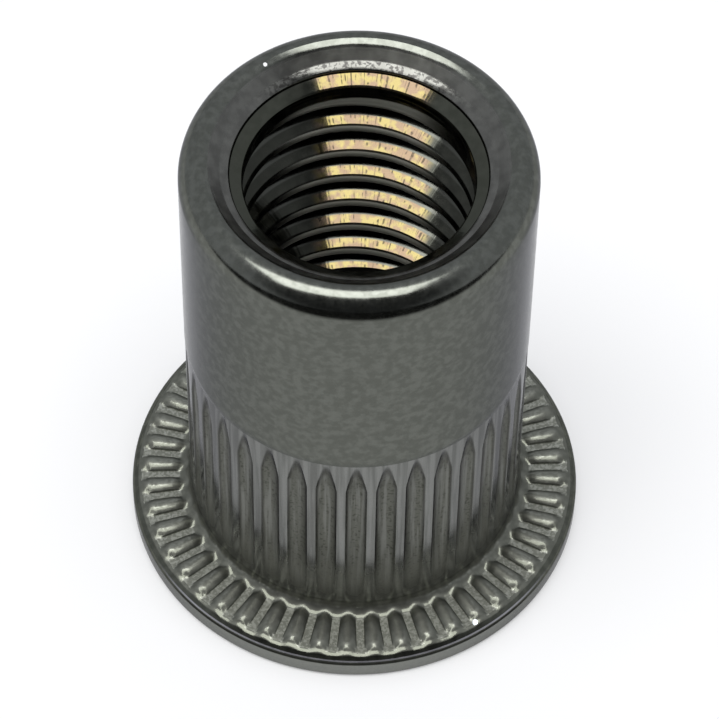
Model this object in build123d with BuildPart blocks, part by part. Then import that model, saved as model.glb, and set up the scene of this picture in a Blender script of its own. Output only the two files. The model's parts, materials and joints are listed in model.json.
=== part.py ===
"""Rivet nut, metric coarse thread M10 x 1.5, flat head, splined shank, open end.

One cold-formed steel piece.  Millimetres, +Z up.  The origin is the centre of the
outer face of the head, so the nut stands on its head with the open end on top.
From the head up: the flange with its ring of radial ribs, the splined length over
the wide bore that collapses when the nut is set, and the plain threaded length.
The thread itself is left plain here at its minor diameter.
"""
from build123d import *
import math
import os

os.makedirs("parts", exist_ok=True)

# ------------------------------------------------------------------ thread and bore
thread_dia = 10.0
thread_pitch = 1.5
minor_r = (thread_dia - 1.0825 * thread_pitch) / 2
bore_clearance = 0.25                     # wide bore round the outside of the screw, per side
bore_r = thread_dia / 2 + bore_clearance
bore_depth = 7.9                          # wide bore, measured from the head face
step_angle = 45.0                         # cone between the wide bore and the thread
mouth_clearance = 0.5                     # countersink outside the thread, per side
mouth_r = thread_dia / 2 + mouth_clearance
mouth_angle = 45.0
entry_chamfer = 0.4                       # lead-in at the head face

# ------------------------------------------------------------------ shank
total_h = 21.0
shank_wall = 1.25                         # round the wide bore: the wall that folds up
shank_r = bore_r + shank_wall
rim_round = 0.95                          # leaves a narrow flat outside the countersink

# ------------------------------------------------------------------ flange
flange_overhang = 2.3                     # beyond the shank
flange_r = shank_r + flange_overhang
flange_floor = 1.15                       # height between the ribs
rib_h = 0.2                               # ribs stand this far above the floor
rib_end_inset = 0.7                       # rib tops start to slope down this far in
rib_end_slope = 27.0
edge_round = 0.4                          # upper edge of the flange
face_chamfer = 0.2                        # edge of the head face
root_bevel = 0.4                          # 45 degree foot between flange and shank

# ------------------------------------------------------------------ radial ribs
rib_count = 48
gap_floor_w = 0.3                         # flat floor between two ribs
gap_flank = 45.0                          # flank angle, from the vertical
gap_turn = 2.47                           # direction of the first gap, degrees from +X

# ------------------------------------------------------------------ splines
spline_count = 36
spline_top = 11.0                         # tip of the pointed arches
spline_arch = 1.7                         # length over which a flute dies out
spline_depth = 0.18
ridge_w = 0.2                             # plain land left between two flutes
flute_turn = 0.8                          # direction of the first flute, degrees from +X

EPS = 0.01
OVER = 1.0                                # tools run this far past the metal


def flute_section():
    """Tool radius and distance of its centre outside the shank surface."""
    half = (2 * math.pi * shank_r / spline_count - ridge_w) / 2
    total = half**2 / spline_depth        # radius + offset, from half^2 = r^2 - offset^2
    return (total + spline_depth) / 2, (total - spline_depth) / 2


# ------------------------------------------------------------------ flute tool
# A round tool whose end narrows to a cone: where the cone leaves the shank surface
# it draws the pointed arch that closes every flute.
flute_r, flute_offset = flute_section()
tip_r = flute_offset / 2
tip_len = spline_arch * (flute_r - tip_r) / spline_depth
arch_start = spline_top - spline_arch

with BuildPart() as flute_tool:
    Cylinder(flute_r, arch_start, align=(Align.CENTER, Align.CENTER, Align.MIN))
    with Locations((0, 0, arch_start)):
        Cone(flute_r, tip_r, tip_len, align=(Align.CENTER, Align.CENTER, Align.MIN))

# ------------------------------------------------------------------ gap tool
# A straight trapezoid trough, pulled outward along +X, cuts the gap between two ribs.
gap_top_w = gap_floor_w + 2 * (rib_h + OVER) * math.tan(math.radians(gap_flank))
gap_in_r = shank_r + EPS

with BuildPart() as gap_tool:
    with BuildSketch(Plane.YZ.offset(gap_in_r)):
        with BuildLine():
            Polyline(
                (-gap_floor_w / 2, flange_floor),
                (gap_floor_w / 2, flange_floor),
                (gap_top_w / 2, flange_floor + rib_h + OVER),
                (-gap_top_w / 2, flange_floor + rib_h + OVER),
                close=True,
            )
        make_face()
    extrude(amount=flange_r - gap_in_r + OVER)

# ------------------------------------------------------------------ rivet nut
rib_top = flange_floor + rib_h
rib_out_r = flange_r - rib_end_inset
edge_z = rib_top - rib_end_inset * math.tan(math.radians(rib_end_slope))
root_r = shank_r - spline_depth           # the foot reaches in to the flute floors

with BuildPart() as nut_body:
    # shank blank with its rounded rim
    Cylinder(shank_r, total_h, align=(Align.CENTER, Align.CENTER, Align.MIN))
    rim = nut_body.edges().filter_by(GeomType.CIRCLE).sort_by(Axis.Z)[-1]
    fillet(rim, rim_round)

    # flutes, run from the head up to their arches
    with PolarLocations(shank_r + flute_offset, spline_count, flute_turn):
        add(flute_tool.part, mode=Mode.SUBTRACT)

    # flange: flat head face, rounded upper edge, ribbed ring and the foot of the shank
    with BuildSketch(Plane.XZ):
        with BuildLine():
            Polyline(
                (root_r - OVER, 0),
                (flange_r - face_chamfer, 0),
                (flange_r, face_chamfer),
                (flange_r, edge_z),
                (rib_out_r, rib_top),
                (root_r + root_bevel, rib_top),
                (root_r, rib_top + root_bevel),
                (root_r - OVER, rib_top + root_bevel),
                close=True,
            )
        make_face()
        upper_corner = vertices().group_by(Axis.X)[-1].sort_by(Axis.Y)[-1]
        fillet(upper_corner, edge_round)
    revolve(axis=Axis.Z)

    # radial ribs, by cutting the gaps between them
    with PolarLocations(0, rib_count, gap_turn):
        add(gap_tool.part, mode=Mode.SUBTRACT)

    # bore: lead-in, wide bore, cone, thread core, countersink
    step_h = (bore_r - minor_r) / math.tan(math.radians(step_angle))
    mouth_h = (mouth_r - minor_r) / math.tan(math.radians(mouth_angle))
    with BuildSketch(Plane.XZ):
        with BuildLine():
            Polyline(
                (0, 0),
                (bore_r + entry_chamfer, 0),
                (bore_r, entry_chamfer),
                (bore_r, bore_depth),
                (minor_r, bore_depth + step_h),
                (minor_r, total_h - mouth_h),
                (mouth_r, total_h),
                (0, total_h),
                close=True,
            )
        make_face()
    revolve(axis=Axis.Z, mode=Mode.SUBTRACT)

nut_body.part.label = "nut_body"
export_step(nut_body.part, "parts/nut_body.step")

print("solids", len(nut_body.part.solids()), "valid", nut_body.part.is_valid)
print("volume mm3", round(nut_body.part.volume, 1), "faces", len(nut_body.part.faces()))
print("box", nut_body.part.bounding_box())
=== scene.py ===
# %% [markdown]
# # A rivet nut in dark, cold-formed steel
#
# A rivet nut is one piece of steel: a flat head, a splined shank over a wide bore,
# and a threaded barrel. It is pressed from a slug, so every edge is soft, and then
# tapped, so the thread is the only sharp thing on it. This lesson builds that one
# skin from three patches: the splined barrel, the ribbed flange with the head face, and
# the threaded bore. The first two are small panels repeated round the axis.

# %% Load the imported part
import json
import math

import bmesh
import bpy
from mathutils import Matrix, Vector


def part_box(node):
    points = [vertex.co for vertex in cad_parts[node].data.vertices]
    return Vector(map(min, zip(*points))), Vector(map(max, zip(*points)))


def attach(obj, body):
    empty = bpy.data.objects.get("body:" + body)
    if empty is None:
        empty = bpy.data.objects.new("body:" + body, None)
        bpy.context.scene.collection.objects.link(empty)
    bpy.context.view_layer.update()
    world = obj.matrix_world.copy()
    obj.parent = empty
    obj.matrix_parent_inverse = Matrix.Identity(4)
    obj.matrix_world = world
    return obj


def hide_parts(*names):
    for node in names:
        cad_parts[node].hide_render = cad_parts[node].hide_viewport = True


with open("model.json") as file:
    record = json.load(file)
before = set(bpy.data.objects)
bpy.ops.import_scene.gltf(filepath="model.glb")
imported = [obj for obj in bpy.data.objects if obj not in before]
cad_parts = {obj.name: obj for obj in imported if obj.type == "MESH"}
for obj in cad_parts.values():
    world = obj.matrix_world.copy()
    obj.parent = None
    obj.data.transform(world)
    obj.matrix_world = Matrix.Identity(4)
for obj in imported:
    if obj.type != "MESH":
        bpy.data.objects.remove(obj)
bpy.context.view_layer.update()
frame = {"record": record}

# %% [markdown]
# ## Sizes
#
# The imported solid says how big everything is. Its box gives the head's radius and
# the height, and its mounts give the shank, the wide bore and the thread core. All
# modelling below is in millimetres, and the finished mesh is scaled to metres once.
# A size that no mount states is named in the cell that first needs it.

# %% Sizes from the frame, in millimetres
MM = 0.001
TAU = 2 * math.pi
_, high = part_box("nut_body")
mounts = {mount["name"]: mount for mount in frame["record"]["mounts"]}


def mount_radius(name):
    return mounts[name]["dims"]["r_mm"]


def mount_span(name):
    """Lowest and highest point of a round mount's wall, along the axis."""
    middle = mounts[name]["pos_m"][2] / MM
    half = mounts[name]["dims"]["length_mm"] / 2
    return middle - half, middle + half


TOTAL_H = high.z / MM
FLANGE_R = min(high.x, high.y) / MM   # the box of a ribbed ring is a little uneven
SHANK_R = mount_radius("shank")
BORE_R = mount_radius("entry_bore")
CORE_R = mount_radius("thread")
THREAD_R = 5.0                        # M10, which the thread mount's note states
PITCH = 1.5
core_low, _ = mount_span("thread")
entry_low, entry_high = mount_span("entry_bore")
print("height", TOTAL_H, "flange", FLANGE_R, "shank", SHANK_R, "core", CORE_R)
print("wide bore from", entry_low, "to", entry_high, "and thread core from", core_low)

# %% [markdown]
# ## One panel, repeated round the axis
#
# The flutes repeat 36 times and the ribs 48 times. Both could be cut with booleans,
# but the edges that catch the light would then be slivers. Here a flat grid is laid
# over one repeat instead, its columns following the detail, and spun round the axis
# as copies. 24 columns to a flute and 18 to a rib give both rings the same number of
# points, so they weld where they meet.

# %% Panel helpers
SPLINES, FLUTE_COLUMNS = 36, 24
RIBS, RIB_COLUMNS = 48, 18
COLUMN_ANGLE = TAU / (SPLINES * FLUTE_COLUMNS)
print("points round the nut", SPLINES * FLUTE_COLUMNS, "and", RIBS * RIB_COLUMNS)


def lerp(a, b, t):
    return a + (b - a) * t


def polar(radius, angle, z):
    return Vector((radius * math.cos(angle), radius * math.sin(angle), z))


def panel(bm, columns, rows, place):
    """A grid of columns by rows cells, each of its points put where place says."""
    made = bmesh.ops.create_grid(bm, x_segments=columns, y_segments=rows, size=0.5)
    for v in made["verts"]:
        column = round((v.co.x + 0.5) * columns)
        row = round((v.co.y + 0.5) * rows)
        v.co = place(column, row)
    return made["verts"]


def repeat_round(bm, verts, count):
    """Copies of a panel, evenly round the axis."""
    edges = {e for v in verts for e in v.link_edges}
    faces = {f for v in verts for f in v.link_faces}
    geom = list(verts) + list(edges) + list(faces)
    bmesh.ops.spin(bm, geom=geom, cent=(0, 0, 0), axis=(0, 0, 1), dvec=(0, 0, 0),
                   angle=TAU * (count - 1) / count, steps=count - 1,
                   use_duplicate=True, use_merge=False, use_normal_flip=False)


# %% [markdown]
# ## The barrel
#
# The lower half is splined: a die with 36 round teeth was pushed over the blank, and
# where it stopped each flute runs out in a pointed arch. The flute is part of a
# circle, so its depth and the arch's outline both follow from one radius that
# shrinks towards the tip. The columns squeeze together with the arch, so that its
# outline is a clean line of edges, and spread out again above it.

# %% Flute section, in millimetres
SPLINE_TOP = 11.0                     # tip of the pointed arches
SPLINE_ARCH = 1.7                     # length over which a flute dies out
SPLINE_DEPTH = 0.18
RIDGE_W = 0.33                        # plain ridge left between two flutes
RIDGE_EDGE = 0.03                     # two columns this far apart keep its edge crisp
FLUTE_SPREAD = (0, 0.18, 0.36, 0.53, 0.68, 0.81, 0.91, 1)

HALF_PITCH = math.pi * SHANK_R / SPLINES
flute_half = HALF_PITCH - RIDGE_W / 2
flute_sum = flute_half ** 2 / SPLINE_DEPTH
TOOTH_R = (flute_sum + SPLINE_DEPTH) / 2
TOOTH_OUT = (flute_sum - SPLINE_DEPTH) / 2     # how far its centre lies outside the shank
ARCH_START = SPLINE_TOP - SPLINE_ARCH


def tooth_radius(z):
    along = (z - ARCH_START) / SPLINE_ARCH
    return lerp(TOOTH_R, TOOTH_OUT, min(max(along, 0), 1))


def flute_width(z):
    """Half the width of a flute where it meets the barrel's surface."""
    return max(math.sqrt(max(tooth_radius(z) ** 2 - TOOTH_OUT ** 2, 0)), 0.02)


def flute_depth(offset, z):
    inside = tooth_radius(z) ** 2 - offset ** 2
    return max(math.sqrt(max(inside, 0)) - TOOTH_OUT, 0)


def flute_offset(step, z, ease):
    """Distance of a column from the flute's middle; ease 1 spaces the columns evenly."""
    width = flute_width(z)
    last = width + 2 * RIDGE_EDGE
    spread = [width * t for t in FLUTE_SPREAD] + [width + RIDGE_EDGE, last]
    spread += [lerp(last, HALF_PITCH, k / 3) for k in (1, 2, 3)]
    even = HALF_PITCH * step / (FLUTE_COLUMNS // 2)
    return lerp(spread[step], even, ease)


print("flute half width", round(flute_width(0), 3), "tooth radius", round(TOOTH_R, 3))

# %% Splined length: radius, height, evenness of the columns, share of the flute's depth
FOOT_TOP = 1.75                       # where the flange's foot meets the barrel
FOOT_R = SHANK_R - 0.03
DIE_R = SHANK_R - 0.015               # the die left the splined length a little thinner
ARCH_ROWS = 14
ARCH_CROWD = 1.6                      # rows crowd together towards the arch's tip

barrel_rows = [
    (FOOT_R, FOOT_TOP, 1, 0),
    (FOOT_R, FOOT_TOP + 0.2, 0.7, 0.1),
    (FOOT_R, FOOT_TOP + 0.5, 0.3, 0.3),
    (DIE_R, FOOT_TOP + 1.0, 0, 0.55),
    (DIE_R, FOOT_TOP + 1.7, 0, 0.8),
    (DIE_R, FOOT_TOP + 2.6, 0, 0.95),
    (DIE_R, FOOT_TOP + 3.4, 0, 1),
    (DIE_R, ARCH_START, 0, 1),
]
for k in range(1, ARCH_ROWS + 1):
    share = 1 - (1 - k / ARCH_ROWS) ** ARCH_CROWD
    barrel_rows.append((DIE_R, ARCH_START + share * SPLINE_ARCH, 0, 1))
print("rows up to the arches", len(barrel_rows))

# %% Plain length and rim
RIM_ROUND = 0.95                      # radius of the rolled rim
RIM_END = 82                          # degrees of it, up to the narrow lip
rim_z = TOTAL_H - RIM_ROUND
rim_r = SHANK_R - RIM_ROUND


def arc(centre_r, centre_z, radius, start, end, steps):
    """Points of a round stretch of an outline, angles in degrees from +r to +z."""
    angles = [math.radians(start + (end - start) * k / steps) for k in range(steps + 1)]
    return [(centre_r + radius * math.cos(a), centre_z + radius * math.sin(a)) for a in angles]


barrel_rows += [
    (SHANK_R, SPLINE_TOP + 0.05, 0, 0),
    (SHANK_R, SPLINE_TOP + 0.3, 0.2, 0),
    (SHANK_R, SPLINE_TOP + 0.8, 0.6, 0),
    (SHANK_R, SPLINE_TOP + 1.6, 1, 0),
    (SHANK_R, rim_z - 1.0, 1, 0),
]
barrel_rows += [(r, z, 1, 0) for r, z in arc(rim_r, rim_z, RIM_ROUND, 0, RIM_END, 13)]
# a narrow lip, tilted 25 degrees inwards, leads from the rim's top to the countersink
for out, down in ((0.115, 0.013), (0.10, 0.019), (-0.035, 0.082), (-0.07, 0.100), (-0.10, 0.119)):
    barrel_rows.append((rim_r + out, TOTAL_H - down, 1, 0))
print("rim ring", rim_r, "top", round(max(row[1] for row in barrel_rows), 4))

# %% Countersink, down to the seam where the bore's own patch begins
CONE_TOP = (rim_r - 0.13, TOTAL_H - 0.142)
LAND_OUT = (CORE_R + 0.80, TOTAL_H - 0.50)     # the countersink's foot
SEAM_GAP = 0.1                        # patches stop this far apart and are bridged
MOUTH_SEAM_R = THREAD_R + 0.1


def cone_z(radius):
    share = (radius - LAND_OUT[0]) / (CONE_TOP[0] - LAND_OUT[0])
    return lerp(LAND_OUT[1], CONE_TOP[1], share)


MOUTH_SEAM_Z = cone_z(MOUTH_SEAM_R)
seam_row_r = MOUTH_SEAM_R + SEAM_GAP
upper_row_r = lerp(seam_row_r, CONE_TOP[0], 0.9)
for radius in (CONE_TOP[0], upper_row_r, seam_row_r):
    barrel_rows.append((radius, cone_z(radius), 1, 0))
print("countersink from", CONE_TOP, "to", LAND_OUT, "seam at", round(MOUTH_SEAM_Z, 3))

# %% Make the barrel
FLUTE_PHASE = math.radians(-89.2)     # one flute lies 0.8 degrees past -Y


def barrel_place(column, row):
    radius, z, ease, share = barrel_rows[row]
    step = column - FLUTE_COLUMNS // 2
    offset = math.copysign(flute_offset(abs(step), z, ease), step)
    depth = flute_depth(offset, z) * share
    return polar(radius - depth, FLUTE_PHASE + offset / SHANK_R, z)


skin = bmesh.new()
barrel = panel(skin, FLUTE_COLUMNS, len(barrel_rows) - 1, barrel_place)
repeat_round(skin, barrel, SPLINES)
print("barrel faces", len(skin.faces))

# %% [markdown]
# ## The flange
#
# The flange bites into the sheet with 48 radial ribs. Each is a half-round bead with
# a narrow flat gap beside it. A panel here has two outlines, one along the gap and
# one along the rib's crest, and every column lies somewhere between them. That one
# share gives the bead its round section and both of its ends at once. Outside the
# beads the two outlines are the same: the soft outer edge, the wall and the head.

# %% Foot of the ribs: gap point, crest point, evenness of the columns, softness
GAP_FLOOR = 1.15                      # height of the floor between two ribs
RIB_H = 0.2
RIB_TOP = GAP_FLOOR + RIB_H
FOOT_ROUND = 0.48                     # the fillet from a gap up to the shank
BEAD_FOOT_ROUND = 0.29                # the ribs start lower and tighter than the gaps
BEAD_FOOT = GAP_FLOOR + RIB_H / 2
foot_r = SHANK_R + FOOT_ROUND
bead_foot_r = SHANK_R + BEAD_FOOT_ROUND

flange_rows = [((FOOT_R, FOOT_TOP), (FOOT_R, FOOT_TOP), 1, 1)]
gap_foot = arc(foot_r, GAP_FLOOR + FOOT_ROUND, FOOT_ROUND, 180, 270, 7)
bead_foot = arc(bead_foot_r, BEAD_FOOT + BEAD_FOOT_ROUND, BEAD_FOOT_ROUND, 180, 270, 7)
flange_rows += [(g, c, 0, 0.6) for g, c in zip(gap_foot, bead_foot)]
flange_rows += [
    ((foot_r + 0.07, GAP_FLOOR), (SHANK_R + 0.43, RIB_TOP - 0.065), 0, 0.4),
    ((foot_r + 0.17, GAP_FLOOR), (SHANK_R + 0.58, RIB_TOP - 0.015), 0, 0.2),
    ((foot_r + 0.32, GAP_FLOOR), (SHANK_R + 0.75, RIB_TOP), 0, 0),
]
print("foot rows", len(flange_rows), "ribs stand", RIB_H, "above", GAP_FLOOR)

# %% Outer ends of the ribs: inset and height in a gap, on a crest, evenness, softness
rib_ends = (
    (0.770, 1.150, 0.770, 1.350, 0, 0),
    (0.660, 1.150, 0.700, 1.349, 0, 0.3),
    (0.580, 1.150, 0.640, 1.343, 0, 0.7),
    (0.510, 1.150, 0.590, 1.329, 0, 1),
    (0.460, 1.150, 0.540, 1.311, 0, 1),
    (0.420, 1.150, 0.500, 1.290, 0, 1),
    (0.390, 1.149, 0.455, 1.256, 0, 1),
    (0.360, 1.146, 0.415, 1.224, 0, 1),
    (0.325, 1.139, 0.365, 1.201, 0, 1),
    (0.290, 1.128, 0.310, 1.178, 0, 1),
    (0.245, 1.108, 0.262, 1.157, 0.05, 1),
    (0.205, 1.088, 0.240, 1.137, 0.15, 1),
    (0.185, 1.073, 0.205, 1.104, 0.35, 1),
    (0.160, 1.054, 0.170, 1.069, 0.7, 1),
)
for gap_in, gap_z, crest_in, crest_z, ease, soft in rib_ends:
    flange_rows.append(((FLANGE_R - gap_in, gap_z), (FLANGE_R - crest_in, crest_z), ease, soft))
print("rib ends start", rib_ends[0][0], "and stop", rib_ends[-1][0], "inside the wall")

# %% Outer edge, wall, head face and the mouth of the wide bore
EDGE_ROUND = 0.27                     # upper edge of the flange
EDGE_LOW = 0.80                       # where that edge meets the plain wall
FACE_ROUND = 0.2                      # edge of the head face
BORE_SEAM_Z = entry_high - 0.7        # the flange patch ends inside the wide bore

edge_points = arc(FLANGE_R - EDGE_ROUND, EDGE_LOW, EDGE_ROUND, 60, 0, 7)
edge_points += arc(FLANGE_R - FACE_ROUND, FACE_ROUND, FACE_ROUND, 0, -90, 4)
lead_in_r = BORE_R + entry_low
edge_points += [(lead_in_r + 0.05, 0), (lead_in_r, 0.03), (BORE_R, entry_low)]
edge_points.append((BORE_R, BORE_SEAM_Z - SEAM_GAP))
flange_rows += [(point, point, 1, 1) for point in edge_points]
print("flange rows", len(flange_rows), "bore seam at", round(BORE_SEAM_Z, 3))

# %% Make the flange
GAP_HALF = 0.15                       # half the width of a gap's floor
BEAD_SPREAD = (0.06, 0.14, 0.25, 0.39, 0.56, 0.78, 1)
BEAD_STEP = 0.3                       # a bead starts with a small steep step
BEAD_CURVE = 1.9                      # and rises from it as this power, nearly round
RIB_PHASE = FLUTE_PHASE - 5 * COLUMN_ANGLE     # on the barrel's columns, so they weld


def bead_share(step, radius, soft):
    """How far a column is from the gap, and how high it stands: 0 floor, 1 crest.
    Soft is 0 for a bead that rises from a small step, and 1 for a gentle wave."""
    half = math.pi * radius / RIBS
    width = half - GAP_HALF
    if step <= 2:
        return (0, 0.09, GAP_HALF)[step] / half, 0
    q = BEAD_SPREAD[step - 3]
    rise = (q - BEAD_SPREAD[0]) / (1 - BEAD_SPREAD[0])
    stepped = lerp(BEAD_STEP, 1, 1 - (1 - rise) ** BEAD_CURVE)
    wave = q * q * (3 - 2 * q)
    return (GAP_HALF + q * width) / half, lerp(stepped, wave, soft)


def flange_place(column, row):
    gap, crest, ease, soft = flange_rows[row]
    half_columns = RIB_COLUMNS // 2
    step = min(column, RIB_COLUMNS - column)
    away, height = bead_share(step, max(gap[0], SHANK_R), soft)
    away = lerp(away, step / half_columns, ease)
    side = math.copysign(1 - away, column - half_columns)
    angle = RIB_PHASE + side * math.pi / RIBS
    return polar(lerp(gap[0], crest[0], height), angle, lerp(gap[1], crest[1], height))


flange = panel(skin, RIB_COLUMNS, len(flange_rows) - 1, flange_place)
repeat_round(skin, flange, RIBS)
print("barrel and flange faces", len(skin.faces))

# %% [markdown]
# ## The thread
#
# A tap cuts the thread, so a tap is what is modelled: one pitch of its outline, spun
# round the axis while it climbs, is the whole helix. The rest of the bore, from the
# wide bore through its cone to the countersink, is a plain turned plug. The two are
# joined with a boolean union, which gives the thread its natural run-outs, and the
# union's surface, turned inside out, is the inside of the nut.

# %% Outline helpers
MERGE = 0.001                         # points nearer than this are one point


def outline(bm, points):
    """A chain of edges through (radius, height) points, in the XZ plane."""
    verts = [bm.verts.new((r, 0, z)) for r, z in points]
    for pair in zip(verts, verts[1:]):
        bm.edges.new(pair)
    return verts


def to_object(bm, name):
    mesh = bpy.data.meshes.new(name)
    bm.to_mesh(mesh)
    bm.free()
    piece = bpy.data.objects.new(name, mesh)
    bpy.context.scene.collection.objects.link(piece)
    return piece


def close_to_axis(bm):
    """Fans from every open rim to a point on the axis, which makes the shape a solid."""
    rims = [e for e in bm.edges if e.is_boundary]
    loops = []
    while rims:
        loop = {rims.pop()}
        grown = True
        while grown:
            verts = {v for e in loop for v in e.verts}
            near = {e for v in verts for e in v.link_edges if e.is_boundary} - loop
            grown = bool(near)
            loop |= near
        rims = [e for e in rims if e not in loop]
        loops.append(list(loop))
    for loop in loops:
        z = sum(v.co.z for e in loop for v in e.verts) / (2 * len(loop))
        grown = bmesh.ops.extrude_edge_only(bm, edges=loop)["geom"]
        verts = [g for g in grown if isinstance(g, bmesh.types.BMVert)]
        bmesh.ops.pointmerge(bm, verts=verts, merge_co=(0, 0, z))
    print("rims closed to the axis", len(loops))


# %% One pitch of the tap's outline
ROOT_FLAT = PITCH / 8
CREST_FLAT = PITCH / 4
ROOT_SOFT = 0.05                      # round the thread's roots
CREST_SOFT = (0.2, 0.1)               # round the lower and the upper corner of its crests
FLANK_TIP = 0.14                      # a second point near the crest keeps the flank flat
TAP_SHIFT = -0.736                    # where in its turn the tap stopped
TAP_LOW = entry_high - PITCH - 0.3 + TAP_SHIFT
CREST_START = (PITCH + ROOT_FLAT - CREST_FLAT) / 2
CREST_END = CREST_START + CREST_FLAT

tap_heights = (0, ROOT_FLAT, CREST_START, CREST_END, lerp(CREST_END, PITCH, FLANK_TIP), PITCH)
tap_radii = (THREAD_R, THREAD_R, CORE_R, CORE_R, lerp(CORE_R, THREAD_R, FLANK_TIP), THREAD_R)
print("tap from", round(TAP_LOW, 3), "crest from", CREST_START, "to", CREST_END, "of", PITCH)

# %% The tap
TURN_STEPS = 144
TAP_TURNS = 9
NO_GROOVE_R = CORE_R - 0.05           # past its end the groove shrinks to this radius
JUST_OVER = 0.01


def make_tap():
    bm = bmesh.new()
    verts = outline(bm, [(r, TAP_LOW + z) for r, z in zip(tap_radii, tap_heights)])
    # the tap's root, between two of its tips, is what leaves one crest of the nut
    for corner, soft in zip(verts[1:4], (ROOT_SOFT, *CREST_SOFT)):
        bmesh.ops.bevel(bm, geom=[corner], offset=soft, segments=3, profile=0.5,
                        affect="VERTICES", material=-1)
    bmesh.ops.spin(bm, geom=bm.verts[:] + bm.edges[:], cent=(0, 0, 0), axis=(0, 0, 1),
                   dvec=(0, 0, PITCH / TURN_STEPS), angle=TAU * TAP_TURNS,
                   steps=TURN_STEPS * TAP_TURNS, use_duplicate=False, use_merge=False)
    bmesh.ops.remove_doubles(bm, verts=bm.verts, dist=MERGE)
    # the last turn cuts no groove above its crest: the thread starts below the countersink
    crest_top = TAP_LOW + PITCH * (TAP_TURNS - 1) + CREST_END
    for v in bm.verts:
        radius = math.hypot(v.co.x, v.co.y)
        climb = PITCH * (math.atan2(v.co.y, v.co.x) % TAU) / TAU
        if v.co.z > crest_top + climb + JUST_OVER and radius > CORE_R - JUST_OVER:
            v.co.xy *= NO_GROOVE_R / radius
    # the groove ends on the nut's near side, which is -Y
    quarter = Matrix.Rotation(-math.pi / 2, 3, "Z")
    bmesh.ops.rotate(bm, verts=bm.verts, cent=(0, 0, 0), matrix=quarter)
    close_to_axis(bm)
    bmesh.ops.recalc_face_normals(bm, faces=bm.faces)
    return to_object(bm, "tap")


tap = make_tap()
print("tap faces", len(tap.data.polygons), "turns", TAP_TURNS)

# %% The plug
PLUG_STEPS = 144
# a second cone, a step and a narrow land lead out from the thread core to the countersink:
# each point's distance outside the core and below the top
mouth_steps = (
    (0.00, 1.10),
    (0.02, 1.05),
    (0.06, 1.020),
    (0.09, 1.002),
    (0.43, 0.802),
    (0.46, 0.784),
    (0.49, 0.67),
    (0.52, 0.64),
    (0.66, 0.565),
    (0.77, 0.515),
)
support_r = lerp(LAND_OUT[0], MOUTH_SEAM_R, 0.3)


def make_plug():
    bm = bmesh.new()
    points = [(0, BORE_SEAM_Z), (BORE_R, BORE_SEAM_Z), (BORE_R, entry_high), (CORE_R, core_low)]
    points += [(CORE_R + out, TOTAL_H - down) for out, down in mouth_steps]
    points += [LAND_OUT, (support_r, cone_z(support_r))]
    points += [(MOUTH_SEAM_R, MOUTH_SEAM_Z), (0, MOUTH_SEAM_Z)]
    outline(bm, points)
    bmesh.ops.spin(bm, geom=bm.verts[:] + bm.edges[:], cent=(0, 0, 0), axis=(0, 0, 1),
                   dvec=(0, 0, 0), angle=TAU, steps=PLUG_STEPS,
                   use_duplicate=False, use_merge=True)
    bmesh.ops.remove_doubles(bm, verts=bm.verts, dist=MERGE)
    bmesh.ops.recalc_face_normals(bm, faces=bm.faces)
    return to_object(bm, "plug")


plug = make_plug()
print("plug faces", len(plug.data.polygons))

# %% The union of the two
cut = plug.modifiers.new("thread", "BOOLEAN")
cut.operation = "UNION"
cut.solver = "EXACT"
cut.object = tap
bpy.context.view_layer.update()
depsgraph = bpy.context.evaluated_depsgraph_get()
cavity = bpy.data.meshes.new_from_object(plug.evaluated_get(depsgraph))
for tool in (plug, tap):
    bpy.data.objects.remove(tool)
print("cavity faces", len(cavity.polygons))

# %% [markdown]
# ## One closed skin
#
# The union still has its two end caps, and its faces look away from the axis. The caps
# go, the faces are turned, and the bore then fits between the two outer patches. Each
# seam is a narrow gap between two rings of points, 864 on the outer patch and 144 on the
# bore, so they could never weld. Bridging the two edge loops fills it instead.

# %% Turn the union into the inside of the nut
inside = bmesh.new()
inside.from_mesh(cavity)


def beyond_seams(face):
    heights = [v.co.z for v in face.verts]
    return min(heights) > MOUTH_SEAM_Z - MERGE or max(heights) < BORE_SEAM_Z + MERGE


caps = [f for f in inside.faces if beyond_seams(f)]
bmesh.ops.delete(inside, geom=caps, context="FACES")
bmesh.ops.remove_doubles(inside, verts=inside.verts, dist=MERGE)
bmesh.ops.reverse_faces(inside, faces=inside.faces)
print("cavity open edges", sum(e.is_boundary for e in inside.edges),
      "odd edges", sum(not e.is_manifold and not e.is_boundary for e in inside.edges))
inside.to_mesh(cavity)
inside.free()

# %% Weld and bridge the patches
bmesh.ops.remove_doubles(skin, verts=skin.verts, dist=MERGE)
skin.from_mesh(cavity)
open_edges = [e for e in skin.edges if e.is_boundary]
print("open edges before bridging", len(open_edges))
for seam_z in (BORE_SEAM_Z, MOUTH_SEAM_Z):
    rim = [e for e in open_edges if abs(e.verts[0].co.z - seam_z) < 2 * SEAM_GAP]
    print("seam at", round(seam_z, 3), "edges", len(rim))
    bmesh.ops.bridge_loops(skin, edges=rim)
bmesh.ops.recalc_face_normals(skin, faces=skin.faces)
triangles = sum(len(f.verts) - 2 for f in skin.faces)
print("triangles", triangles, "open edges", sum(e.is_boundary for e in skin.edges),
      "volume mm3", round(skin.calc_volume(signed=True), 1))

# %% [markdown]
# ## From a skin to a piece
#
# Three numbers are stored on every point, because the finish follows the shape: how
# deep it lies in a flute, how high it stands on a rib, and whether it is on the floor
# of a gap. The die rubbed the high places bright and left the low places dull and
# dark. Each region gets its own finish by slot. Then the skin is scaled to metres and
# shaded smooth, except along the few edges that a tap leaves sharp.

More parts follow.
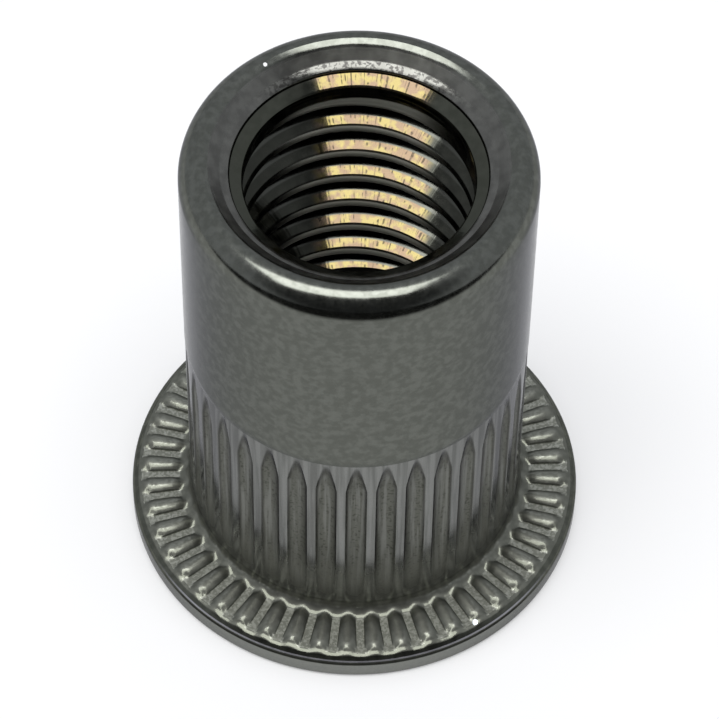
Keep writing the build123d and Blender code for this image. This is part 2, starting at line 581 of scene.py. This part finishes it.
# %% Store depth and height on the points
OUTSIDE_R = BORE_R + 0.5              # farther out than this is the barrel's outer skin
RING_R = SHANK_R - 0.1                # and farther out than this, the ring of ribs
RING_LOW = GAP_FLOOR - 0.1
GAP_START, GAP_END = foot_r - 0.2, FLANGE_R - 0.36
GAP_HIGH = GAP_FLOOR + 0.012          # a gap's floor is bright up to this height
flute_layer = skin.verts.layers.float.new("flute")
rib_layer = skin.verts.layers.float.new("rib")
floor_layer = skin.verts.layers.float.new("gap_floor")
for v in skin.verts:
    radius = math.hypot(v.co.x, v.co.y)
    if FOOT_TOP < v.co.z < SPLINE_TOP and radius > OUTSIDE_R:
        v[flute_layer] = min(max(DIE_R - radius, 0) / SPLINE_DEPTH, 1)
    if radius > RING_R and RING_LOW < v.co.z < FOOT_TOP:
        v[rib_layer] = min(max(v.co.z - GAP_FLOOR, 0) / RIB_H, 1)
        if GAP_START < radius < GAP_END and v.co.z < GAP_HIGH:
            v[floor_layer] = 1
print("points on the gap floors", sum(v[floor_layer] > 0 for v in skin.verts))

# %% Give each region its material slot
BARREL, FLANGE, CONE, THREAD, BORE = range(5)
ON_BORE_CONE = entry_high + BORE_R + 0.02      # radius plus height, on the wide bore's cone
LAND_LOW = TOTAL_H - 0.68                      # lowest point of the countersink's land


def on_cone(face):
    """True on the countersink, its land and the soft edge that leads in to it."""
    low_z = min(v.co.z for v in face.verts)
    out_r = max(math.hypot(v.co.x, v.co.y) for v in face.verts)
    return low_z > LAND_LOW and out_r < CONE_TOP[0] + 0.01


for f in skin.faces:
    middle = f.calc_center_median()
    radius = math.hypot(middle.x, middle.y)
    if on_cone(f):
        f.material_index = CONE
    elif radius < MOUTH_SEAM_R and middle.z + radius > ON_BORE_CONE:
        f.material_index = THREAD
    elif radius < BORE_R + 0.02:
        f.material_index = BORE
    elif middle.z < FOOT_TOP:
        f.material_index = FLANGE
    else:
        f.material_index = BARREL
    f.smooth = True
print("faces by slot", [sum(f.material_index == k for f in skin.faces) for k in range(5)])

# %% Scale to metres and make the object
SHARP = math.radians(38)
bmesh.ops.scale(skin, vec=(MM, MM, MM), verts=skin.verts)
nut = to_object(skin, "nut_skin")
nut.data.set_sharp_from_angle(angle=SHARP)
print("nut size, mm", [round(d / MM, 2) for d in nut.dimensions])

# %% [markdown]
# ## Finishes
#
# Everything is the same plain carbon steel with a thin dark oil film, so every finish
# is a full metal with the default IOR. What differs is how each surface was made: the
# barrel was drawn through a die, the flange coined, the countersink turned, the thread
# tapped, and the wide bore left as it was forged. Patterns read Object coordinates in
# millimetres, so each of their scales is a real size.

# %% One function that adds a node
SMOOTH = {"interpolation_type": "SMOOTHSTEP"}  # for every Map Range: no hard borders


def colour(code):
    """An sRGB hex value as the linear colour that a shader wants."""
    parts = [int(code[k:k + 2], 16) / 255 for k in (1, 3, 5)]
    return tuple(c / 12.92 if c <= 0.04045 else ((c + 0.055) / 1.055) ** 2.4 for c in parts) + (1,)


def add(tree, kind, *inputs, out=0, **settings):
    """Adds a node with its settings, fills its sockets, and returns one of its outputs.
    Inputs go to the sockets from the top down, or are one dict by socket name. An output
    of another node is linked, a hex value is a colour, and out=None gives all outputs."""
    node = tree.nodes.new("ShaderNode" + kind)
    for name, value in settings.items():
        setattr(node, name, value)
    named = inputs and isinstance(inputs[0], dict)
    for name, value in inputs[0].items() if named else enumerate(inputs):
        if isinstance(value, bpy.types.NodeSocket):
            tree.links.new(value, node.inputs[name])
        else:
            node.inputs[name].default_value = colour(value) if isinstance(value, str) else value
    return node.outputs if out is None else node.outputs[out]


def new_material(name):
    material = bpy.data.materials.new(name)
    material.use_nodes = True
    material.node_tree.nodes.clear()
    return material, material.node_tree


print("the oil film's grey", [round(c, 3) for c in colour("#5c5e58")])


# %% Patterns that follow the nut
def millimetres(tree, stretch=(1, 1, 1)):
    """The point on the piece in millimetres. A small stretch draws a pattern out."""
    spot = add(tree, "TexCoord", out="Object")
    return add(tree, "VectorMath", spot, Vector(stretch) / MM, operation="MULTIPLY")


def round_axis(tree):
    """Distance from the axis in millimetres."""
    flat = millimetres(tree, (1, 1, 0))
    return add(tree, "VectorMath", flat, operation="LENGTH", out="Value")


def band(tree, value, start, full, fade, end, peak=1.0):
    """Peak between full and fade, and 0 below start and above end."""
    rise = add(tree, "MapRange", value, start, full, 0, peak, **SMOOTH)
    fall = add(tree, "MapRange", value, fade, end, 1, 0, **SMOOTH)
    return add(tree, "Math", rise, fall, operation="MULTIPLY")


def side_share(tree, side, full, ends):
    """1 on one side of the axis and 0 on the other: side 1 is +Y and side -1 is -Y.
    Full and ends are half widths, in radians, of the part at 1 and of the part above 0."""
    x, y, _ = add(tree, "SeparateXYZ", millimetres(tree, (1, side, 1)), out=None)
    turn = add(tree, "Math", x, y, operation="ARCTAN2")
    away = add(tree, "Math", turn, operation="ABSOLUTE")
    return add(tree, "MapRange", away, full, ends, 1, 0, **SMOOTH)


def nick_glint_share(tree, centre, radius):
    """A small bare nick, painted as a glint: 1 at its centre, 0 a radius away."""
    away = add(tree, "VectorMath", millimetres(tree), centre, operation="DISTANCE", out="Value")
    return add(tree, "MapRange", away, 0.55 * radius, radius, 1, 0, **SMOOTH)


# %% The shared end of every finish
def steel(material, tree, base, roughness, relief, depth, scale):
    """Oiled metal that shows through a matt scale. Scale is that scale's share of the
    surface, and depth the height of the relief in millimetres. The grey specular tint
    is the oil film, which keeps the metal's edges from going fully white."""
    bump = add(tree, "Bump", {"Strength": 1.0, "Distance": depth * MM, "Height": relief})
    oiled = add(tree, "BsdfPrincipled", {
        "Metallic": 1.0, "Base Color": base, "Roughness": roughness,
        "Specular Tint": "#c0c0c4", "Normal": bump})
    matt = add(tree, "BsdfPrincipled", {
        "Metallic": 1.0, "Base Color": "#8d8e85", "Roughness": 0.55,
        "Specular Tint": "#c0c0c4", "Normal": bump})
    both = add(tree, "MixShader", scale, oiled, matt)
    add(tree, "OutputMaterial", both, out=None)
    nut.data.materials.append(material)
    print(material.name, "nodes", len(tree.nodes))


# %% [markdown]
# ## Drawn barrel
#
# The blank was drawn through a die and tumbled, which leaves a satin grey skin, mottled
# where the oil film is thicker. It could be one plain satin metal, but then the long
# smooth barrel looks like plastic. Two patterns carry it: cloudy mottling 0.3 mm wide,
# and the tumbling's pits. Real pits are about 0.02 mm, and are drawn 0.11 mm wide so
# that they show. Down the splined length the die also left lines. They are about
# 0.03 mm wide, drawn 0.16 mm wide, and 25 times as long. The ridges it rubbed are
# lighter, and the flutes darker and duller. Along the flutes' edges a dark line of
# painted shade is painted in.

# %% Drawn steel: sizes in millimetres
MOTTLE = 0.3
PIT = 0.11
DIE_LINE, DIE_LINE_STRETCH = 0.16, (1, 1, 0.04)
BARREL_NICK_GLINT = (-3.49, 4.37, 20.9)              # one nick on the rim, painted pure white as a glint
print("mottling", MOTTLE, "pits", PIT, "die lines", DIE_LINE, "wide")


# %% Drawn steel: the splined length
def splined_colour(tree, flute, pits, drawn):
    """Rubbed ridges, and pitted flutes with die lines and a dark outline of painted shade along
    their edges.
    """
    rubbed_and_sheen = add(tree, "MapRange", drawn, 0.35, 0.65, **SMOOTH)
    ridge = add(tree, "MixRGB", rubbed_and_sheen, "#696a67", "#7e7f7c")
    pitted = add(tree, "MapRange", pits, 0.5, 0.68, **SMOOTH)
    groove = add(tree, "MixRGB", pitted, "#65665f", "#464740")
    lines = add(tree, "MapRange", drawn, 0.45, 0.62, 0, 0.8, **SMOOTH)
    groove = add(tree, "MixRGB", lines, groove, "#7c7d78")
    in_flute = add(tree, "MapRange", flute, 0.04, 0.4, **SMOOTH)
    both = add(tree, "MixRGB", in_flute, ridge, groove)
    # painted shade: a dark line along the flutes' shallow edges
    flute_edge_shade = band(tree, flute, 0, 0.2, 0.25, 0.6, peak=0.55)
    return add(tree, "MixRGB", flute_edge_shade, both, "#262622")


# %% Drawn steel
def drawn_steel():
    material, tree = new_material("drawn_oiled_steel")
    point = millimetres(tree)
    height = add(tree, "SeparateXYZ", point, out="Z")
    flute = add(tree, "Attribute", attribute_name="flute", out="Fac")
    cloud = add(tree, "TexNoise", {"Vector": point, "Scale": 1 / MOTTLE, "Detail": 4.0})
    pits = add(tree, "TexNoise", {"Vector": point, "Scale": 1 / PIT, "Detail": 2.0})
    drawn = add(tree, "TexNoise", {
        "Vector": millimetres(tree, DIE_LINE_STRETCH), "Scale": 1 / DIE_LINE, "Detail": 3.0})

    mottled = add(tree, "MapRange", cloud, 0.38, 0.66, **SMOOTH)
    base = add(tree, "MixRGB", mottled, "#5c5e58", "#686a64")
    splined = add(tree, "MapRange", height, SPLINE_TOP - 0.02, SPLINE_TOP + 0.03, 1, 0, **SMOOTH)
    base = add(tree, "MixRGB", splined, base, splined_colour(tree, flute, pits, drawn))
    # painted glint: the nick is pure white and rougher
    nick_glint = nick_glint_share(tree, BARREL_NICK_GLINT, 0.11)
    base = add(tree, "MixRGB", nick_glint, base, "#ffffff")

    satin = add(tree, "MapRange", cloud, 0.3, 0.7, 0.15, 0.2, **SMOOTH)
    dull = add(tree, "MapRange", flute, 0.1, 0.4, 0, 0.16, **SMOOTH)
    rough = add(tree, "Math", splined, dull, satin, operation="MULTIPLY_ADD")
    rough = add(tree, "Math", nick_glint, 0.4, rough, operation="MULTIPLY_ADD")

    relief = add(tree, "Math", pits, 0.35, operation="MULTIPLY")
    relief = add(tree, "Math", cloud, 0.5, relief, operation="MULTIPLY_ADD")

    # the foot of the flutes keeps more of the matt scale, which the die hardly reached
    foot = add(tree, "MapRange", height, FOOT_TOP + 1.0, FOOT_TOP + 3.2, 0.35, 0, **SMOOTH)
    specks = add(tree, "MapRange", pits, 0.35, 0.7, 0, 0.05, **SMOOTH)
    scale = add(tree, "Math", foot, specks, operation="ADD")
    steel(material, tree, base, rough, relief, 0.0015, scale)


drawn_steel()

# %% [markdown]
# ## Coined flange
#
# The flange was struck between two dies. Coining flattens the metal's skin without
# polishing it, so it is darker and duller than the barrel, and it keeps a good third
# of its matt scale. The punch touched hardest on the floors of the gaps and on the
# tops of the ribs, and left them worn light in a fine grit. The floors are painted
# lighter still, a painted sheen of flat floors that face the lamp. The grit is about
# 0.02 mm, drawn 0.1 mm wide. The height stored on the points says where each of them
# is. The plain wall is painted lighter, a painted reflection of the white paper below
# it. On the near side a line of painted shade runs along the crease under the edge,
# and the outer corner above it is painted light, a painted highlight.

# %% Coined steel: sizes in millimetres
GRIT = 0.1
# a line of painted shade along the crease under the edge, near side only
CREASE_SHADE = (EDGE_LOW, EDGE_LOW + 0.03, EDGE_LOW + 0.1, EDGE_LOW + 0.14)
# a painted highlight along the near outer corner
NEAR_CORNER_HIGHLIGHT = (0.94, 0.96, 0.99, 1.01)
NEAR_HALF = (0.75, 1.1)                        # half widths of the near side, radians
FLANGE_NICK_GLINT = (4.75, -6.97, 1.18)              # a chip by the outer edge, painted bluish white as a glint
print("crease up to", round(CREASE_SHADE[3], 2), "worn corner from", NEAR_CORNER_HIGHLIGHT[0])


# %% Coined steel: colour
def coined_colour(tree, cloud, grit, floor, bead, height, corner):
    """Dark ground, floors and rib tops worn light, the floors also painted lighter as a painted
    sheen, the wall painted lighter as a painted reflection, a line of painted shade along the near
    crease, and a painted highlight on the near outer corner.
    """
    mottled = add(tree, "MapRange", cloud, 0.35, 0.7, **SMOOTH)
    base = add(tree, "MixRGB", mottled, "#4d4f47", "#5a5c53")
    gritty = add(tree, "MapRange", grit, 0.42, 0.62, **SMOOTH)
    # the floors: worn light in a grit, and painted lighter as a painted sheen of flat floors that
    # face the lamp
    worn_and_sheen = add(tree, "MixRGB", gritty, "#6d6f64", "#babcb1")
    base = add(tree, "MixRGB", floor, base, worn_and_sheen)
    # painted reflection: the plain wall is painted lighter, as if it mirrored the white paper
    wall_reflection = add(tree, "MapRange", height, EDGE_LOW - 0.04, EDGE_LOW + 0.02, 1, 0, **SMOOTH)
    base = add(tree, "MixRGB", wall_reflection, base, "#7f817e")
    # painted shade: a near-black line along the crease, on the near side only
    crease_shade = add(tree, "Math", band(tree, height, *CREASE_SHADE, peak=0.9),
                 side_share(tree, -1, *NEAR_HALF), operation="MULTIPLY")
    base = add(tree, "MixRGB", crease_shade, base, "#0e0e0e")
    top = add(tree, "MapRange", bead, 0.7, 1, 0, 0.7, **SMOOTH)
    specks = add(tree, "MapRange", grit, 0.4, 0.62, **SMOOTH)
    top = add(tree, "Math", top, specks, operation="MULTIPLY")
    base = add(tree, "MixRGB", top, base, "#a0a297")
    # painted highlight: the near outer corner is painted a light lilac grey
    base = add(tree, "MixRGB", corner, base, "#a8a7ac")
    return add(tree, "MixRGB", nick_glint_share(tree, FLANGE_NICK_GLINT, 0.13), base, "#e8f4ff")


# %% Coined steel: how much matt scale is left
def coined_scale(tree, cloud, floor, bead, height):
    """More on the floors and the rib tops, and hardly any round the outer edge."""
    left = add(tree, "MapRange", cloud, 0.3, 0.7, 0.28, 0.4, **SMOOTH)
    scale = add(tree, "Math", floor, 0.25, left, operation="MULTIPLY_ADD")
    on_bead = add(tree, "MapRange", bead, 0.3, 0.9, 0, 0.2, **SMOOTH)
    scale = add(tree, "Math", scale, on_bead, operation="ADD")
    outside = add(tree, "MapRange", round_axis(tree), FLANGE_R - 0.27, FLANGE_R - 0.2, **SMOOTH)
    above = add(tree, "MapRange", height, EDGE_LOW - 0.02, EDGE_LOW + 0.02, **SMOOTH)
    outer = add(tree, "Math", outside, above, operation="MULTIPLY")
    kept = add(tree, "MapRange", outer, 0, 1, 1, 0.1, **SMOOTH)
    return add(tree, "Math", scale, kept, operation="MULTIPLY")


# %% Coined steel
def coined_steel():
    material, tree = new_material("coined_oiled_steel")
    point = millimetres(tree)
    height = add(tree, "SeparateXYZ", point, out="Z")
    floor = add(tree, "Attribute", attribute_name="gap_floor", out="Fac")
    bead = add(tree, "Attribute", attribute_name="rib", out="Fac")
    cloud = add(tree, "TexNoise", {"Vector": point, "Scale": 1 / MOTTLE, "Detail": 3.0})
    grit = add(tree, "TexNoise", {"Vector": point, "Scale": 1 / GRIT, "Detail": 2.0})

    # the near outer corner's mask, for its painted highlight and its rougher finish
    corner = add(tree, "Math", band(tree, height, *NEAR_CORNER_HIGHLIGHT),
                 side_share(tree, -1, *NEAR_HALF), operation="MULTIPLY")
    base = coined_colour(tree, cloud, grit, floor, bead, height, corner)

    satin = add(tree, "MapRange", cloud, 0.3, 0.7, 0.13, 0.2, **SMOOTH)
    worn_and_sheen = add(tree, "Math", floor, corner, operation="MAXIMUM")
    rough = add(tree, "Math", worn_and_sheen, 0.3, satin, operation="MULTIPLY_ADD")

    relief = add(tree, "Math", grit, 0.4, operation="MULTIPLY")
    relief = add(tree, "Math", cloud, 0.6, relief, operation="MULTIPLY_ADD")
    scale = coined_scale(tree, cloud, floor, bead, height)
    steel(material, tree, base, rough, relief, 0.003, scale)


coined_steel()

# %% [markdown]
# ## Turned countersink
#
# The mouth was opened with a turning tool, whose feed left rings about 0.05 mm apart.
# They are one-dimensional noise over the distance from the axis, so they run round
# without any unwrapping. On the land at the foot of the cone the tool tore the steel
# instead of cutting it: a glossy ring, broken on its far side by dark flecks. They are
# 0.16 mm wide, about their real size.

# %% Turned steel: sizes in millimetres
FEED = 0.05
TURNED_CLOUD = 0.5                             # where the oil film is thicker
TEAR = 0.16
LAND_EDGE = (LAND_OUT[0] - 0.04, LAND_OUT[0] + 0.04)
FAR_TORN = (0.6, 1.0)                          # half widths of the torn part, radians
print("land out to", [round(r, 3) for r in LAND_EDGE])


# %% Turned steel
def turned_steel():
    material, tree = new_material("turned_oiled_steel")
    point = millimetres(tree)
    radius = round_axis(tree)
    rings = add(tree, "TexNoise", {"W": radius, "Scale": 1 / FEED, "Detail": 3.0},
                noise_dimensions="1D")
    cloud = add(tree, "TexNoise", {"Vector": point, "Scale": 1 / TURNED_CLOUD, "Detail": 3.0})
    flecks = add(tree, "TexNoise", {"Vector": point, "Scale": 1 / TEAR, "Detail": 3.0})

    mottled = add(tree, "MapRange", cloud, 0.35, 0.7, **SMOOTH)
    base = add(tree, "MixRGB", mottled, "#5e5e5a", "#696965")
    land = add(tree, "MapRange", radius, *LAND_EDGE, 1, 0, **SMOOTH)
    far_land = add(tree, "Math", land, side_share(tree, 1, *FAR_TORN), operation="MULTIPLY")
    dark = add(tree, "MapRange", flecks, 0.48, 0.6, 0, 0.8, **SMOOTH)
    torn = add(tree, "Math", far_land, dark, operation="MULTIPLY")
    base = add(tree, "MixRGB", torn, base, "#2c2b2a")

    glossy = add(tree, "MapRange", land, 0, 1, 0.3, 0.16, **SMOOTH)
    lip = add(tree, "MapRange", radius, CONE_TOP[0] - 0.1, CONE_TOP[0], 0.3, 0.2, **SMOOTH)
    rough = add(tree, "Math", glossy, lip, operation="MINIMUM")
    relief = add(tree, "Math", rings, cloud, operation="ADD")
    scale = add(tree, "MapRange", cloud, 0.3, 0.7, 0, 0.1, **SMOOTH)
    steel(material, tree, base, rough, relief, 0.002, scale)


turned_steel()

# %% [markdown]
# ## Tapped thread
#
# A tap leaves the brightest surface on the nut, and cutting oil stays in it. Its film is a
# warm straw and brown, painted lighter and only on the far side, where the lamp's
# highlight falls, so that the highlight reads gold; elsewhere the thread is nearly black.
# Below the mouth, towards the roots, it is painted a neutral grey, so that the highlight
# there reads white. A tap also chatters: it leaves short marks across the flanks. They
# are about 0.03 mm wide, drawn about 0.12 mm apart at the flank, which is 38 to a
# radian. The crests on the far side are rougher and painted pale, a painted highlight.

# %% Tapped steel: sizes in millimetres and radians
CHATTER = 38.0                                 # marks to a radian
MARK_PATCH = 0.25                              # the marks come and go in patches
FILM = 0.4                                     # width of the film's two colours
FILM_HIGHLIGHT_TURN = (0.9, 1.02, 1.9, 2.0)              # turn from +X over which the film is warm and lighter: the painted colour of the lamp's highlight
# radii where the painted neutral grey of the roots begins
ROOT_GREY_HIGHLIGHT = (CORE_R + 0.36, CORE_R + 0.42)
CREST_HIGHLIGHT = (CORE_R + 0.02, CORE_R + 0.06)
THREAD_TOP = (TOTAL_H - 1.7, TOTAL_H - 1.6)
MOUTH_LOW = (TOTAL_H - 1.3, TOTAL_H - 1.2)     # the second cone starts here
THREAD_NICK_GLINT = (3.03, 2.89, 18.57)              # a speck on the first turn, painted pure white as a glint
print("chatter marks, mm apart", round((CORE_R + THREAD_R) / 2 / CHATTER, 3))


# %% Tapped steel: colour
def tapped_colour(tree, point, cloud, chatter, radius, turn, height, crest):
    """Straw and brown film with chatter marks, lighter on the far side as the painted colour of
    the lamp's highlight, dark elsewhere, neutral grey towards the roots as a painted highlight
    colour, and pale crests painted as a highlight.
    """
    broken = add(tree, "TexNoise", {"Vector": point, "Scale": 1 / MARK_PATCH, "Detail": 2.0})
    marks = add(tree, "MapRange", chatter, 0.52, 0.6, 0, 0.75, **SMOOTH)
    patches = add(tree, "MapRange", broken, 0.45, 0.6, **SMOOTH)
    marks = add(tree, "Math", marks, patches, operation="MULTIPLY")
    film = add(tree, "MapRange", cloud, 0.4, 0.6, **SMOOTH)
    warm_film_highlight = add(tree, "MixRGB", film, "#6a6140", "#5f5142")
    warm_film_highlight = add(tree, "MixRGB", marks, warm_film_highlight, "#24201a")
    mouth = add(tree, "MapRange", height, *MOUTH_LOW, **SMOOTH)
    plain = add(tree, "MixRGB", mouth, "#343530", "#464840")
    # painted highlight colour: the warm, lighter film only on the far side, where the lamp's
    # highlight falls
    base = add(tree, "MixRGB", band(tree, turn, *FILM_HIGHLIGHT_TURN), plain, warm_film_highlight)
    # below the mouth, towards the roots, a neutral grey: painted so that the highlight there reads
    # white
    inner = add(tree, "MapRange", radius, *ROOT_GREY_HIGHLIGHT, 1, 0, **SMOOTH)
    filmed = add(tree, "Math", mouth, inner, operation="MAXIMUM")
    base = add(tree, "MixRGB", filmed, "#484944", base)
    # painted highlight: pale crests on the far side
    base = add(tree, "MixRGB", crest, base, "#d4d4c8")
    return add(tree, "MixRGB", nick_glint_share(tree, THREAD_NICK_GLINT, 0.12), base, "#ffffff")


# %% Tapped steel
def tapped_steel():
    material, tree = new_material("tapped_oiled_steel")
    point = millimetres(tree)
    x, y, height = add(tree, "SeparateXYZ", point, out=None)
    radius = round_axis(tree)
    turn = add(tree, "Math", y, x, operation="ARCTAN2")
    chatter = add(tree, "TexNoise", {"W": turn, "Scale": CHATTER, "Detail": 2.0},
                  noise_dimensions="1D")
    cloud = add(tree, "TexNoise", {"Vector": point, "Scale": 1 / FILM, "Detail": 3.0})

    # the crests' mask, on the far side below the thread's top, for a painted highlight
    rubbed_and_sheen = add(tree, "MapRange", radius, *CREST_HIGHLIGHT, 1, 0, **SMOOTH)
    below = add(tree, "MapRange", height, *THREAD_TOP, 1, 0, **SMOOTH)
    crest = add(tree, "Math", rubbed_and_sheen, below, operation="MULTIPLY")
    crest = add(tree, "Math", crest, side_share(tree, 1, 0.4, 1.1), operation="MULTIPLY")
    base = tapped_colour(tree, point, cloud, chatter, radius, turn, height, crest)

    bright = add(tree, "MapRange", cloud, 0.3, 0.7, 0.07, 0.11, **SMOOTH)
    rough = add(tree, "Math", crest, 0.6, bright, operation="MULTIPLY_ADD")
    relief = add(tree, "Math", cloud, 0.3, chatter, operation="MULTIPLY_ADD")
    scale = add(tree, "MapRange", cloud, 0.3, 0.7, 0, 0.05, **SMOOTH)
    steel(material, tree, base, rough, relief, 0.001, scale)


tapped_steel()

# %% [markdown]
# ## Forged wide bore
#
# No tool touched the wide bore after forging. Its skin is rough, dark scale in blotches
# 0.6 mm wide. One cloud pattern drives colour, roughness and relief together, because
# on real scale the thick places are lighter, rougher and higher at once.

# %% Forged steel
BLOTCH = 0.6


def forged_steel():
    material, tree = new_material("forged_scaled_steel")
    cloud = add(tree, "TexNoise", {
        "Vector": millimetres(tree), "Scale": 1 / BLOTCH, "Detail": 4.0})
    thick = add(tree, "MapRange", cloud, 0.35, 0.7, **SMOOTH)
    base = add(tree, "MixRGB", thick, "#2a2a28", "#3a3a36")
    rough = add(tree, "MapRange", cloud, 0.3, 0.7, 0.45, 0.6, **SMOOTH)
    scale = add(tree, "MapRange", cloud, 0.3, 0.7, 0, 0.1, **SMOOTH)
    steel(material, tree, base, rough, cloud, 0.02, scale)


forged_steel()
print("slots", [material.name for material in nut.data.materials])

# %% [markdown]
# ## Floor
#
# The nut stands on a large sheet of white paper. Paper is plain diffuse, and takes the
# nut's shadow. A little light of its own, for the camera and for reflections, lifts it
# to white a few millimetres away, so that no extra lamp has to wash out the nut. A
# studio would put a black card in front, because metal shows what it faces. Here the
# front of the sheet is dark to every ray but the camera's own, which does the same.

# %% The sheet of paper
LIFT_FROM, LIFT_TO, LIFT = 5 * MM, 10 * MM, 0.4
DARK_FROM, DARK_TO = -20 * MM, -40 * MM        # along Y, in front of the nut

bm = bmesh.new()
bmesh.ops.create_circle(bm, cap_ends=True, segments=64, radius=3.0)
floor = to_object(bm, "floor")
paper, tree = new_material("white_paper")
to_camera = add(tree, "LightPath", out="Is Camera Ray")
to_metal = add(tree, "LightPath", out="Is Glossy Ray")
spot = add(tree, "TexCoord", out="Object")
along = add(tree, "SeparateXYZ", spot, out="Y")
away = add(tree, "VectorMath", spot, operation="LENGTH", out="Value")

clear = add(tree, "MapRange", away, LIFT_FROM, LIFT_TO, 0, LIFT, **SMOOTH)
front = add(tree, "MapRange", along, DARK_TO, DARK_FROM, 1, 0, **SMOOTH)
other = add(tree, "MapRange", to_camera, 0, 1, 1, 0, **SMOOTH)
dim = add(tree, "Math", front, other, operation="MULTIPLY")
lit = add(tree, "MapRange", dim, 0, 1, 1, 0, **SMOOTH)
seen = add(tree, "Math", to_camera, to_metal, operation="MAXIMUM")
seen_clear = add(tree, "Math", seen, clear, operation="MULTIPLY")
lift = add(tree, "Math", seen_clear, lit, operation="MULTIPLY")

glow = add(tree, "Emission", {"Strength": lift})
sheet = add(tree, "BsdfDiffuse", {"Color": add(tree, "MixRGB", dim, "#c4c4c4", "#2c2c2c")})
add(tree, "OutputMaterial", add(tree, "AddShader", glow, sheet), out=None)
floor.data.materials.append(paper)
print("floor radius, m", round(floor.dimensions.x / 2, 2))

# %% [markdown]
# ## Room and lamp
#
# The room is an even pale grey that falls off towards the front and above, and the
# camera sees it as white. A metal takes its looks from such a fall-off: with the same
# light all round, it would be flat. One large soft lamp hangs a little behind the top,
# and makes the long highlights on the rim, the thread and the ribs. Its brightness is
# given as radiance, where 1 is white paper, and turned to watts from its area.

# %% The room
ROOM_BACK, ROOM_FRONT = 0.7, 0.075             # strength away from the dark part, and in it
DARK_ABOVE = math.radians(35)                  # the dark part's middle, above the front
world = bpy.data.worlds.new("studio")
bpy.context.scene.world = world
world.use_nodes = True
tree = world.node_tree
tree.nodes.clear()
heading = add(tree, "TexCoord", out="Generated")
dark_middle = (0, -math.cos(DARK_ABOVE), math.sin(DARK_ABOVE))
facing = add(tree, "VectorMath", heading, dark_middle, operation="DOT_PRODUCT", out="Value")
strength = add(tree, "MapRange", facing, 0.45, 0.85, ROOM_BACK, ROOM_FRONT, **SMOOTH)
room = add(tree, "Background", {"Color": "#f4f7ff", "Strength": strength})
backdrop = add(tree, "Background", {"Color": "#ffffff", "Strength": 1.0})
to_camera = add(tree, "LightPath", out="Is Camera Ray")
add(tree, "OutputWorld", add(tree, "MixShader", to_camera, room, backdrop), out=None)
print("room from", ROOM_BACK, "down to", ROOM_FRONT)

# %% The lamp
middle_of_nut = Vector((0, 0, 10.4 * MM))
LAMP_TURN = math.radians(101)                  # from the back floor over the top
LAMP_ASIDE = -0.09                             # share of its direction along X
LAMP_DISTANCE = 0.5
LAMP_SIZE = (0.456, 0.25)
LAMP_RADIANCE = 6.2
flat = math.sqrt(1 - LAMP_ASIDE ** 2)
heading = Vector((LAMP_ASIDE, flat * math.cos(LAMP_TURN), flat * math.sin(LAMP_TURN)))
lamp_data = bpy.data.lights.new("overhead", "AREA")
lamp_data.shape = "RECTANGLE"
lamp_data.size, lamp_data.size_y = LAMP_SIZE
lamp_data.energy = LAMP_RADIANCE * math.pi * LAMP_SIZE[0] * LAMP_SIZE[1]
lamp = bpy.data.objects.new("overhead", lamp_data)
lamp.location = middle_of_nut + LAMP_DISTANCE * heading
side = Vector((1, 0, 0))
side = (side - side.dot(heading) * heading).normalized()
lamp_axes = Matrix((side, heading.cross(side), heading)).transposed()
lamp.rotation_euler = lamp_axes.to_euler()
bpy.context.scene.collection.objects.link(lamp)
print("lamp watts", round(lamp_data.energy, 2))

# %% [markdown]
# ## Camera
#
# The camera looks down at 54 degrees with a long lens, from 15 cm away. A long lens
# close to a small part still draws the flange smaller than it would be without
# perspective, so the distance matters as much as the angle. It is placed from its three
# axes, built from that angle and a slight roll, which needs no constraint.

# %% The camera
DISTANCE = 151.33 * MM
ELEVATION = math.radians(54.48)
ROLL = 0.0169                                  # radians
LENS = 200.7
ASIDE, LOW = 0.104 * MM, 0.966 * MM            # the nut is not quite in the middle
forward = Vector((0, math.cos(ELEVATION), -math.sin(ELEVATION)))
right = Vector((1, 0, 0))
up = right.cross(forward)
roll = Matrix.Rotation(-ROLL, 3, forward)
right, up = roll @ right, roll @ up
camera_data = bpy.data.cameras.new("camera")
camera_data.sensor_width = 36
camera_data.lens = LENS
camera_data.clip_start = 0.01
camera = bpy.data.objects.new("camera", camera_data)
camera_axes = Matrix((right, up, -forward)).transposed().to_4x4()
place = middle_of_nut - DISTANCE * forward + ASIDE * right - LOW * up
camera.matrix_world = Matrix.Translation(place) @ camera_axes
bpy.context.scene.collection.objects.link(camera)
bpy.context.scene.camera = camera
print("camera at, mm", [round(c / MM, 1) for c in camera.location])

# %% [markdown]
# ## Hand over
#
# The nut is one piece on the part's only body, and stands for the imported solid,
# which is hidden. The floor is only stage. The visual model has to stay inside the
# imported one.

# %% Hand over
bpy.context.scene.view_settings.view_transform = "Standard"
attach(nut, "root")
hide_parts("nut_body")
